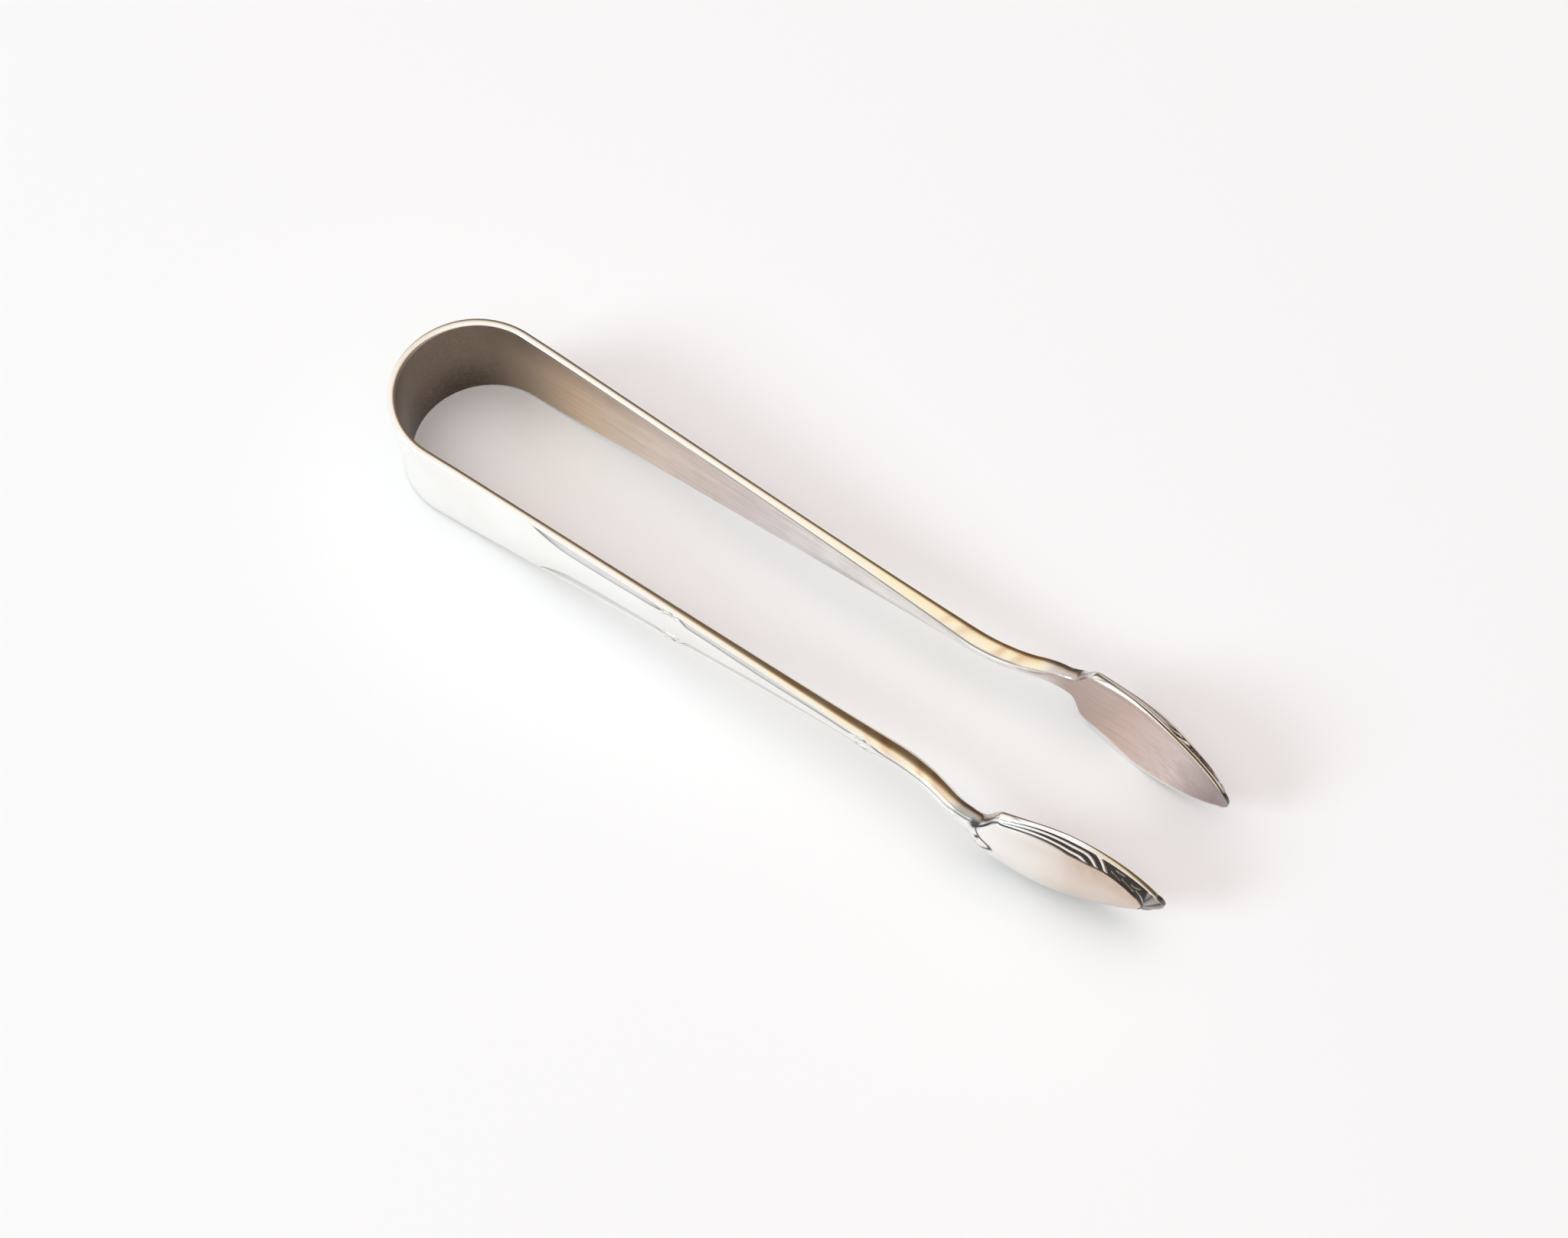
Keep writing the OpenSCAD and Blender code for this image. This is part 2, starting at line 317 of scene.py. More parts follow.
def route(s):
    """Points and headings along the middle of the left side."""
    x, y, h = np.zeros_like(s), np.zeros_like(s), np.zeros_like(s)
    px, py, ph = -BOW_R, 0.0, math.pi / 2
    begin = 0.0
    for k, (length, turn_deg) in enumerate(LEGS):
        turn = math.radians(turn_deg)
        here = s >= begin if k else np.ones_like(s, bool)
        run = s[here] - begin
        if abs(turn) < 1e-9:
            x[here] = px + run * math.cos(ph)
            y[here] = py + run * math.sin(ph)
            h[here] = ph
            px += length * math.cos(ph)
            py += length * math.sin(ph)
        else:
            r = length / turn
            a = ph + run / r
            x[here] = px + r * (np.sin(a) - math.sin(ph))
            y[here] = py - r * (np.cos(a) - math.cos(ph))
            h[here] = a
            px += r * (math.sin(ph + turn) - math.sin(ph))
            py -= r * (math.cos(ph + turn) - math.cos(ph))
            ph += turn
        begin += length
    return x, y, h


def leaf_share(x):
    """Width of a leaf at places along it, as a share of its widest."""
    swell = np.sin(np.radians(90) * np.clip(x / GRIP_SWELL, 0, 1))
    grow = LEAF_SHOULDER_SHARE + (1 - LEAF_SHOULDER_SHARE) * swell
    grow = ramp((x - GRIP_COLLAR_L) / GRIP_SHOULDER_L) * grow
    q = np.clip((x - GRIP_SWELL) / (GRIP_L - GRIP_SWELL), 0, 1)
    fall = np.maximum(0, 1 - q**LEAF_FALL_POWER) ** LEAF_TIP_POWER
    return np.where(x <= GRIP_SWELL, grow, fall)


def plain_profile(s):
    """Width, thickness, swell of the outer face, hollow of the inner face and edge height along one side."""
    x = np.maximum(0, s - LEAF_S)
    arm = np.clip((s - SEAM_S) / (STEM_S - SEAM_S), 0, 1)
    stem = np.clip((s - STEM_S) / (LEAF_S - STEM_S), 0, 1)
    root = np.clip(1 - x / GRIP_SWELL, 0, 1)
    gather = arm**GATHER_POWER
    px, _, _ = route(s)
    seam_x = route(np.array([SEAM_S]))[0][0]
    crown_x = -(BOW_R - STRIP_T / 2) * math.cos(math.radians(CROWN_HALF_ANGLE))
    q = (px - crown_x) / (seam_x - crown_x)
    drawn = np.where(q > DRAW_EASE, q, (q + DRAW_EASE) ** 2 / (4 * DRAW_EASE))
    drawn = np.where(q < -DRAW_EASE, 0, drawn)
    bow_w = BOW_W - (BOW_W - SHOULDER_W) * drawn
    arm_w = SHOULDER_W - (SHOULDER_W - STEM_W) * arm**ARM_TAPER
    stem_w = NECK_W + (STEM_W - NECK_W) * (1 - stem) ** NARROW_POWER
    leaf_w = (NECK_W * root) ** BLEND_POWER + (GRIP_W * leaf_share(x)) ** BLEND_POWER
    leaf_w = leaf_w ** (1 / BLEND_POWER)
    width = np.where(s <= STEM_S, arm_w, np.where(s <= LEAF_S, stem_w, leaf_w))
    width = np.where(s <= SEAM_S, bow_w, width)
    thick = np.where(
        s <= LEAF_S,
        STRIP_T + (STEM_T - STRIP_T) * gather - (STEM_T - NECK_T) * ramp(stem),
        RIM_T + (NECK_T - RIM_T) * root**THIN_POWER,
    )
    rise = HEEL_SHARE + (1 - HEEL_SHARE) * np.sin(np.radians(90) * np.clip(x / GRIP_SWELL, 0, 1))
    swell = np.where(x <= GRIP_SWELL, rise, leaf_w / GRIP_W)
    crown = np.where(
        s <= LEAF_S,
        LEAST_CROWN + (STEM_CROWN - LEAST_CROWN) * gather,
        STEM_CROWN + (GRIP_CROWN * swell - STEM_CROWN) * ramp(x / HEEL_L),
    )
    hollow = GRIP_DISH * ramp(x / GRIP_SWELL) * leaf_w / GRIP_W
    dish = np.where(s <= LEAF_S, LEAST_CROWN, LEAST_CROWN + hollow)
    edge = EDGE_R + (STEM_EDGE_R - EDGE_R) * np.where(s <= LEAF_S, gather, root**THIN_POWER)
    edge = np.minimum(edge, np.minimum(EDGE_OF_THICK * thick, EDGE_OF_HALF * width / 2))
    return width, thick, crown, dish, edge


def profile(s):
    """The same, eased round the neck and rounded off at the tip."""
    x = s - LEAF_S
    window = NECK_EASE * stretch(x, *NECK_EASE_ALONG)
    plain = [plain_profile(s + d * window) for d in np.linspace(-1, 1, EASE_SAMPLES)]
    width, thick, crown, dish, edge = (np.mean(v, axis=0) for v in zip(*plain))
    shifts = np.linspace(-FILL_EASE, FILL_EASE, EASE_SAMPLES)
    fill = np.mean([np.interp(x + d, FILL_AT, FILL_IS) for d in shifts], axis=0)
    width = (width**FILL_POWER + fill**FILL_POWER) ** (1 / FILL_POWER)
    thick = thick * eased(x, *RIM_THINNING)
    left = np.clip(GRIP_L - x, 0, TIP_R)
    width = np.where(left < TIP_R, np.maximum(width, 2 * np.sqrt(left * (2 * TIP_R - left))), width)
    nose = np.clip((GRIP_L - x) / NOSE_L, 0, 1)
    thick = thick * (NOSE_T + (1 - NOSE_T) * np.sqrt(1 - (1 - nose) ** 2))
    return width, thick, crown, dish, edge


def inner_shape(s):
    """How much narrower the inner face is on each edge, and how far it bulges where the stem is round."""
    x = s - LEAF_S
    narrower = np.interp(x, DRAFT_AT, DRAFT_IS)
    narrower = narrower + SHOULDER_DRAFT * bump_at(x - SHOULDER_DRAFT_AT, SHOULDER_DRAFT_L)
    return narrower, STEM_BULGE * stretch(x, *STEM_BULGE_ALONG)


def flute_line(s, reach):
    """How far the inner line of an arm's flutes lies from the edge of the outer face."""
    line = np.mean([np.interp(s - SEAM_S + d, LINE_AT, LINE_IS) for d in LINE_EASE], axis=0)
    return (line**-LINE_POWER + (LINE_SHARE * reach) ** -LINE_POWER) ** (-1 / LINE_POWER)


def arm_relief(s, e, reach):
    """Height and darkness of an arm's outer face: leaf-ended flutes inside each edge, parted by ties."""
    x = s - SEAM_S
    line = flute_line(s, reach)
    point = FLUTE_POINT * line
    height, dark = np.zeros_like(e), np.zeros_like(e)
    for start, end, run_in, run_out in FLUTES:
        opens = np.clip((x - start) / run_in, 0, 1)
        closes = np.clip((end - x) / run_out, 0, 1)
        low = BEAD_W + (line - BEAD_W) * (1 - (1 - opens) ** 2) + (point - line) * (1 - closes) ** 3
        high = BEAD_W + (point - BEAD_W) * (1 - closes) ** 2
        room = low - high
        across = (e - high) / np.maximum(room, LEAST_ROOM)
        here = (x > start) & (x < end)
        inside = (across > 0) & (across < 1) & (room > 0) & here
        bowl = stretch(across, *FLUTE_BOWL)
        tips = np.maximum(1 - closes, TIPS_START * (1 - opens))
        fine = 0.5 + 0.5 * np.sin(2 * math.pi * across * FINE_LINES)
        # painted shade in the flute's hollow, darker towards its line and at its ends, with fine lines along
        # it
        shade = SHADE + SHADE_ACROSS * across + SHADE_FINE * fine + SHADE_TIPS * tips**TIPS_POWER
        height = np.where(inside, -FLUTE_DEPTH * bowl * np.minimum(1, room / FULL_ROOM), height)
        dark = np.where(inside, shade * bowl, dark)
        cut = bump_at(e - low, LINE_W) * here * ramp((x - start) / LINE_RUN)
        tail = bump_at(e - line, TAIL_W) * stretch(x, end - TAIL_BACK, end + TAIL_ON, TAIL_BACK, TAIL_RUN)
        height = height - LINE_DEPTH * np.maximum(cut, tail)
        dark = np.maximum.reduce([dark, (LINE_DARK + LINE_DARK_TIPS * tips) * cut, TAIL_DARK * tail])
    for tie in TIES:
        dot = bump_at(x - tie - DOT_X, DOT_L) * bump_at(e - DOT_E, DOT_W)
        t = (x - tie) / TIE_L
        within = ramp((TIE_REACH - np.abs(t)) / TIE_FADE)
        falling = bump_at(e - line * (0.5 - TIE_TILT * t), TIE_LINE_W) * within
        rising = bump_at(e - line * (0.5 + TIE_TILT * t), TIE_LINE_W) * within
        mark = np.maximum.reduce([dot, TIE_FALLING * falling, TIE_RISING * rising])
        height = height - TIE_DEPTH * mark
        dark = np.maximum(dark, TIE_DARK * mark)
    fade = ramp((LEAF_S - s) / FLUTE_FADE_L)
    return height * fade, dark * fade


def border(x):
    """Width of a grip's border, eased along the leaf."""
    shifts = np.linspace(-BORDER_EASE, BORDER_EASE, 7)
    return np.mean([np.interp(x + d, BORDER_AT, BORDER_IS) for d in shifts], axis=0)


def reed_number(x, e):
    """Which reed a place lies on, counted from the panel outwards; they hook inwards one after the other."""
    wide = border(np.minimum(x, REED_WIDEST))
    low, high = np.full_like(e, REED_LOWEST), np.full_like(e, REED_HIGHEST)
    for _ in range(HALVINGS):
        p = (low + high) / 2
        hook = CURL_RATE * np.maximum(0, x - CURL_START - CURL_DELAY * p) ** CURL_POWER
        too_far = (REED_FIRST - REED_STEP * p) * wide + hook < e
        low, high = np.where(too_far, low, p), np.where(too_far, p, high)
    return (low + high) / 2


def strokes(x, u):
    """Raised hooked lines on the sunk ground, one after the other along the border."""
    best = np.zeros_like(u)
    for start, end, low, high in STROKES:
        t = (x - start) / (end - start)
        path = low + (high - low) * np.clip(t, 0, 1) ** STROKE_POWER
        best = np.maximum(best, bump_at(u - path, STROKE_W) * stretch(t, *STROKE_ALONG))
    return best


def root_marks(x, e, a):
    """The chevron and branches across the root of a leaf, and the knots that they start from."""
    off = np.abs(a)
    chevron = CHEVRON_TIP - CHEVRON_DROP * np.clip(off / CHEVRON_HALF, 0, CHEVRON_MOST) ** CHEVRON_POWER
    chevron = bump_at(x - chevron, CHEVRON_W) * ramp((CHEVRON_REACH - off) / CHEVRON_FADE)
    branch = bump_at(x - BRANCH_X - BRANCH_TILT * (off - BRANCH_A), BRANCH_W)
    branch = BRANCH_SHARE * branch * bump_at(off - BRANCH_MIDDLE, BRANCH_HALF_L)
    marks = np.minimum(1, MARKS_CORE * np.maximum(chevron, branch))
    knot = np.minimum(1, KNOT_CORE * bump_at(x - KNOT_X, KNOT_L) * bump_at(e, KNOT_W))
    return marks, knot * ramp(x / KNOT_RUN)


def grip_relief(x, e, a):
    """Height and darkness of a leaf's outer face: reeds that curl in to a plain panel, and a sunk ground."""
    full = border(x)
    p = reed_number(x, e)
    off = (p - np.floor(p) - 0.5) / eased(x, *REED_HALF)
    round_top = np.sqrt(np.maximum(0, 1 - off**2))
    reeded = (p >= 0) & (p < REED_COUNT)
    ground = p >= REED_COUNT
    grey = eased(x, *GROUND_GREY)
    height = np.where(reeded, -GROOVE_DEPTH + REED_RISE * round_top, -GROOVE_DEPTH)
    dark = np.where(reeded, grey * (1 - ramp(round_top / REED_SHINE)), grey)
    lines = strokes(x, e / full)
    height = np.where(ground, height + STROKE_RISE * lines, height)
    dark = np.where(ground, 1 - STROKE_SHINE * lines, dark)
    # plain near the neck, where the reeds have not yet begun
    begun = ramp((x - REEDS_BEGIN) / REEDS_RUN)
    height, dark = height * begun, dark * begun
    # the tip is a small shell of petals
    angle = np.arctan2(np.abs(a), np.maximum(x - SHELL_CENTRE, 1e-3))
    fan = ramp((x - SHELL_START) / SHELL_RUN)
    rib = np.abs(np.cos(angle * SHELL_RIBS)) ** SHELL_POWER
    height = height * (1 - fan) + fan * (-GROOVE_DEPTH + SHELL_RISE * rib)
    dark = dark * (1 - fan) + fan * (SHELL_DARK - SHELL_SHINE * rib)
    # the border lies between the rim and the panel
    in_border = ramp((e - RIM_GAP) / RIM_RUN) * ramp((full - e) / PANEL_RUN)
    height, dark = height * in_border, dark * in_border
    # a line round the panel, and the marks at its root
    seam = bump_at(e - full + PANEL_LINE_BACK, eased(x, *PANEL_LINE_W)) * stretch(x, *PANEL_LINE_ALONG)
    marks, knot = root_marks(x, e, a)
    cut = np.maximum(seam, MARKS_CUT * marks)
    height = height - CUT_DEPTH * cut * (1 - ramp(dark / CUT_UP_TO)) - KNOT_DEPTH * knot
    return height, np.maximum(dark, DARKEST * np.maximum.reduce([seam, marks, knot]))


def edge_dark(x, q):
    """Darkness on the edge of the stem and the grip, from its outer corner at 0 to its inner corner at 1."""
    knot = np.minimum(1, KNOT_CORE * bump_at(x - KNOT_X, KNOT_L)) * ramp((KNOT_ON_EDGE - q) / KNOT_FADE)
    best = np.maximum(DARKEST * knot, eased(x, *TIP_DARK))
    # the last of these lines is painted shade along the inner corners of the edges
    for dark, place, drift, width, *along in EDGE_LINES:
        best = np.maximum(best, dark * bump_at(q - place - drift * x, width) * stretch(x, *along))
    return best


# How many steps the strip's outline takes across each part of it
PANEL_STEPS = 22
BORDER_STEPS = 60
EDGE_STEPS = 16
INNER_STEPS = 18
RUN_SAMPLES = 161
# The border's steps cover a little more than the border, and never less or more than this
BORDER_MARGIN = 1.15
LEAST_BORDER = 0.9
BORDER_SHARE = 0.9
EDGE_POWER = 2.3
LEAST_INNER = 0.3
INNER_CROWDING = 1.6
INNER_CORNER = 0.8


def outer_columns(s, half, flat, thick, crown):
    """Places across the outer face, along whose columns the border's lines run, and how far in each is."""
    fine = np.linspace(1, 0, RUN_SAMPLES)[None, :] * flat
    rise = thick / 2 + crown * (1 - (fine / half) ** CROWN_POWER)
    steps = np.hypot(np.diff(fine, axis=1), np.diff(rise, axis=1))
    run = np.concatenate([np.zeros_like(flat), np.cumsum(steps, axis=1)], axis=1)
    in_leaf = np.maximum(BORDER_MARGIN * border(np.maximum(0, s - LEAF_S)), LEAST_BORDER)
    wide = np.where(s <= LEAF_S, BORDER_MARGIN * flute_line(s, flat[:, 0]), in_leaf)
    wide = np.minimum(wide, BORDER_SHARE * run[:, -1])
    in_border = wide[:, None] * np.linspace(1, 0, BORDER_STEPS + 1)
    in_panel = run[:, -1:] + (wide[:, None] - run[:, -1:]) * (np.arange(PANEL_STEPS) / PANEL_STEPS)
    from_edge = np.concatenate([in_panel, in_border], axis=1)
    side = np.stack([np.interp(f, r, v) for f, r, v in zip(from_edge, run, fine)])
    return side, from_edge


def strip_grid(s):
    """Loops of points round the strip at each station, with their darkness, inwardness and tone."""
    width, thick, crown, dish, edge = (v[:, None] for v in profile(s))
    half = width / 2
    narrower, bulge = (v[:, None] for v in inner_shape(s))
    # where the edge leans outwards the outer face is the narrower one
    outer_half = half + np.minimum(0, narrower)
    flat = outer_half - edge
    side, from_edge = outer_columns(s, outer_half, flat, thick, crown)
    base = thick / 2 + crown * (1 - (side / outer_half) ** CROWN_POWER)
    slope = -crown * CROWN_POWER * (side / outer_half) ** (CROWN_POWER - 1) / outer_half
    here = s[:, None] + 0 * side
    arm_h, arm_d = arm_relief(here, from_edge, flat)
    grip_h, grip_d = grip_relief(np.maximum(0, here - LEAF_S), from_edge, side)
    relief = np.where(here <= LEAF_S, arm_h, grip_h)
    dark = np.where(here <= LEAF_S, arm_d, grip_d)
    tilt = 1 / np.sqrt(1 + slope**2)
    outer_a = side - relief * slope * tilt
    outer_b = base + relief * tilt
    inner_flat = np.maximum(flat - narrower, LEAST_INNER * flat)
    inner_share = 1 - np.linspace(0, 1, INNER_STEPS + 1) ** INNER_CROWDING
    inner_a = inner_flat * inner_share
    inner_b = -thick / 2 + dish * (1 - (inner_a / half) ** DISH_POWER) - bulge * (1 - inner_share**2)
    # the edge is a softly squared curve from the outer face to the inner one
    turn = np.linspace(0, math.pi, EDGE_STEPS + 2)[1:-1]
    c, d = np.cos(turn), np.sin(turn)
    middle, span = (base[:, -1:] + inner_b[:, :1]) / 2, (base[:, -1:] - inner_b[:, :1]) / 2
    down = np.sign(c) * np.abs(c) ** (2 / EDGE_POWER)
    edge_a = (flat + inner_flat) / 2 + (flat - inner_flat) / 2 * down + edge * d ** (2 / EDGE_POWER)
    edge_b = middle + span * down
    right_a = np.concatenate([outer_a, edge_a, inner_a], axis=1)
    right_b = np.concatenate([outer_b, edge_b, inner_b], axis=1)
    along = s[:, None] - LEAF_S
    across = (turn / math.pi)[None, :]
    deep = np.concatenate([dark, edge_dark(along, across), np.zeros_like(inner_a)], axis=1)
    rim_w = POLISH_W + POLISH_MORE * bump_at(along - POLISH_WIDEST, POLISH_WIDEST_L)
    polished = ramp((along - POLISH_FROM) / POLISH_RUN) * (1 - ramp((inner_flat - inner_a) / rim_w))
    corner = ramp((across - INNER_CORNER) / (1 - INNER_CORNER)) * (1 - polished[:, :1])
    inside = np.concatenate([0 * side, corner, 1 - polished], axis=1)
    outer, inner = outer_tone(along, from_edge), inner_tone(along, inner_a, polished)
    tone = np.concatenate([outer, edge_tone(along, across), inner], axis=1)
    # the other half is the mirror image, without the two points on the middle line
    a = np.concatenate([right_a, -right_a[:, -2:0:-1]], axis=1)
    mirrored_too = (right_b, deep, inside, tone)
    b, deep, inside, tone = (np.concatenate([v, v[:, -2:0:-1]], axis=1) for v in mirrored_too)
    # painted shade on the inner face: darker towards its top along the arms, and towards its bottom in the
    # bow and along the stems
    for share, way, start, run, *stretch_of in INNER_PAINTED_SHADE:
        painted_shade = share * ramp((way * a / half - start) / run) * inside * stretch(s[:, None], *stretch_of)
        tone = tone * (1 - painted_shade[..., None])
    px, py, h = (v[:, None] for v in route(s))
    points = np.stack([px - np.sin(h) * b, py + np.cos(h) * b, a], axis=2)
    return points, deep, inside, tone


# Tones of the worn plate, as the metal's own colour
SILVER = (0.96, 0.95, 0.94)
BRASS = (0.95, 0.83, 0.58)
COPPER = (0.80, 0.58, 0.37)
PANEL_WEAR = (0.69, 0.56, 0.475)
RIM_WEAR = (0.78, 0.70, 0.54)
BOW_TARNISH = (0.20, 0.155, 0.115)
BOW_END = (0.235, 0.188, 0.132)
HONEY = (0.72, 0.555, 0.385)
SAND = (0.86, 0.74, 0.64)
PALE = (0.765, 0.69, 0.68)
CLEAN = (0.94, 0.93, 0.92)
GRIP_ROOT = (0.51, 0.395, 0.345)
GRIP_MIDDLE = (0.71, 0.555, 0.485)
GRIP_END = (0.83, 0.72, 0.70)
TIP_TARNISH = (0.40, 0.35, 0.35)
NECK_GREY = (0.50, 0.43, 0.40)
TIP_BROWN = (0.30, 0.25, 0.18)
# Tarnish of the inner face, along the strip: heaviest inside the bow, thin along the arms, and back in the
# grips
INNER_AT = (0.0, 4.0, 11.0, 23.0, 33.0, 48.0, 60.0, 87.0, 92.0, 100.0, 107.0, 112.6)
INNER_IS = (
    BOW_TARNISH, BOW_TARNISH, BOW_END, HONEY, SAND, PALE,
    CLEAN, CLEAN, GRIP_ROOT, GRIP_MIDDLE, GRIP_END, TIP_TARNISH,
)
# Painted shade on it, where shade and dark reflections fall: the share of the tone that it takes, which half
# of the face it is on, where across that half it starts and how fast it grows, and its stretch along the
# strip
INNER_PAINTED_SHADE = (
    # painted dark reflection: darker towards the top along the ends of the bow and the arms
    (0.3, 1, 0.1, 0.8, 9.0, 48.0, 6.0, 20.0),
    # painted shade: darker towards the bottom inside the bow
    (0.52, -1, -0.2, 1.1, -10.0, 13.0, 6.0, 6.0),
    # painted shade: darker towards the bottom along the stems
    (0.3, -1, 0.1, 0.6, 56.0, 90.0, 6.0, 3.0),
)
# Its rim is polished bright along a grip
POLISH_FROM = 4.0
POLISH_RUN = 2.0
POLISH_W = 0.25
POLISH_MORE = 0.3
POLISH_WIDEST = 8.0
POLISH_WIDEST_L = 3.0
# Wear of the outer face along a grip, on its panel, round the panel's line and on its border
PANEL_WEAR_AT = (2.0, 8.0, 14.0, 23.5)
PANEL_WEAR_IS = (0.0, 0.45, 1.0, 1.0)
WORN_PANEL = 0.85
WORN_ROUND_LINE = 0.3
WORN_ROUND_LINE_W = 1.6
WORN_BORDER = 0.45
# Wear through to the warm metal below on the edges, along the strip, in patches
WEAR_AT = (0.0, 20.0, 45.0, 60.0, 74.0, 88.0, 91.0, 92.5, 114.6)
WEAR_IS = (0.15, 0.15, 0.3, 0.7, 1.0, 1.0, 0.1, 0.0, 0.0)
PATCH_RATE = 1.7
PATCH_SWAY = 1.5
PATCH_SWAY_RATE = 0.9
PATCH_ACROSS = 5
COPPER_FROM = -22.0
COPPER_RUN = 14.0
# Other tones of the edges, from the root of the leaf and across the edge
RIM_WEAR_FROM = 12.0
RIM_WEAR_RUN = 4.0
RIM_WEAR_ACROSS = 0.06
RIM_WEAR_ACROSS_RUN = 0.12
NECK_GREY_ALONG = (-3.0, 3.8, 2.4, 1.2)
NECK_GREY_ACROSS = 0.15
NECK_GREY_ACROSS_RUN = 0.3
TIP_BROWN_FROM = 21.3
TIP_BROWN_RUN = 1.2


def blend_tones(weight, first, second):
    w = np.asarray(weight)[..., None]
    return (1 - w) * np.asarray(first) + w * np.asarray(second)


def outer_tone(along, from_edge):
    full = border(np.maximum(0, along))
    worn = np.interp(along, PANEL_WEAR_AT, PANEL_WEAR_IS)
    panel = WORN_PANEL + WORN_ROUND_LINE * bump_at(from_edge - full, WORN_ROUND_LINE_W)
    return blend_tones(worn * np.where(from_edge > full, panel, WORN_BORDER), SILVER, PANEL_WEAR)


def edge_tone(along, across):
    wear = np.interp(along + LEAF_S, WEAR_AT, WEAR_IS) * np.sqrt(np.sin(math.pi * across))
    sway = PATCH_SWAY * np.sin(PATCH_SWAY_RATE * along)
    patchy = 0.5 + 0.5 * np.sin(PATCH_RATE * along + sway + PATCH_ACROSS * across)
    warm = blend_tones(patchy**2 * ramp((along - COPPER_FROM) / COPPER_RUN), BRASS, COPPER)
    rim = ramp((along - RIM_WEAR_FROM) / RIM_WEAR_RUN)
    rim = rim * ramp((across - RIM_WEAR_ACROSS) / RIM_WEAR_ACROSS_RUN)
    tone = blend_tones(rim, blend_tones(wear, SILVER, warm), RIM_WEAR)
    neck = stretch(along, *NECK_GREY_ALONG) * ramp((across - NECK_GREY_ACROSS) / NECK_GREY_ACROSS_RUN)
    tone = blend_tones(neck, tone, NECK_GREY)
    return blend_tones(ramp((along - TIP_BROWN_FROM) / TIP_BROWN_RUN), tone, TIP_BROWN)


def inner_tone(along, inner_a, polished):
    place = along + LEAF_S + 0 * inner_a
    tone = np.stack([np.interp(place, INNER_AT, channel) for channel in zip(*INNER_IS)], axis=2)
    return blend_tones(polished, tone, SILVER)


# Stations: stretches of an arm where its flutes start and end, with finer steps, and the steps along a grip
BOW_STEP = 0.375
ARM_STEP = 0.5
FLUTE_END_STEP = 0.12
STEM_STEP = 0.25
FLUTE_ENDS = (
    (FLUTES[0][0], FLUTES[0][0] + 6),
    (FLUTES[0][1] - 3, FLUTES[1][0] + 3.5),
    (FLUTES[1][1] - 3, FLUTES[2][0] + 3.5),
)
GRIP_STEPS = (
    (-4, 0, 0.12),
    (0, 4, 0.07),
    (4, 12.4, 0.14),
    (12.4, 13.2, 0.08),
    (13.2, 16.6, 0.045),
    (16.6, 21.6, 0.08),
    (21.6, GRIP_L - NOSE_L, 0.1),
)
NOSE_REACH = 0.56
NOSE_STATIONS = 14
LEAST_STEP = 0.01


def stations():
    """Places along the strip, closest together where the ornament is."""
    parts = [np.arange(0, CROWN_S, BOW_STEP)]
    last = CROWN_S
    for start, end in FLUTE_ENDS:
        parts.append(np.arange(last, SEAM_S + start - ARM_STEP, ARM_STEP))
        parts.append(np.arange(SEAM_S + start - ARM_STEP, SEAM_S + end, FLUTE_END_STEP))
        last = SEAM_S + end
    parts.append(np.arange(last, LEAF_S + GRIP_STEPS[0][0], STEM_STEP))
    for start, end, step in GRIP_STEPS:
        parts.append(LEAF_S + np.arange(start, end, step))
    nose = np.sin(np.linspace(0, math.pi / 2, NOSE_STATIONS))
    parts.append(LEAF_S + GRIP_L - NOSE_L + NOSE_REACH * nose)
    s = np.unique(np.round(np.concatenate(parts), 5))
    keep = np.concatenate([[True], np.diff(s) > LEAST_STEP])
    return s[keep]


TINY = 1e-12
S = stations()
crown_i = int(np.argmin(np.abs(S - CROWN_S)))
leaf_i = int(np.argmin(np.abs(S - LEAF_S)))
# one station past the crown gives the normals there their other neighbour
ghost = np.concatenate([[-S[1]], S])
POINTS, DEEP, INSIDE, TONE = strip_grid(ghost)


def grid_normals(points):
    """Normals of the strip at each of its points, from the points next to it."""
    along = np.gradient(points, axis=0)
    around = np.roll(points, -1, axis=1) - np.roll(points, 1, axis=1)
    n = np.cross(along, around)
    return n / np.maximum(np.linalg.norm(n, axis=2, keepdims=True), TINY)


NORMALS = grid_normals(POINTS)[1:]
POINTS, DEEP, INSIDE, TONE = POINTS[1:], DEEP[1:], INSIDE[1:], TONE[1:]
middle = POINTS.mean(axis=1, keepdims=True)
if np.mean(np.sum((POINTS - middle) * NORMALS, axis=2)) < 0:
    NORMALS = -NORMALS
POINTS = (POINTS + np.array([PLACE_X, 0, PLACE_Z])) * MM


def mirrored(v):
    """The same points or directions on the other side of the tongs."""
    return v * np.array([1.0, -1.0, 1.0])


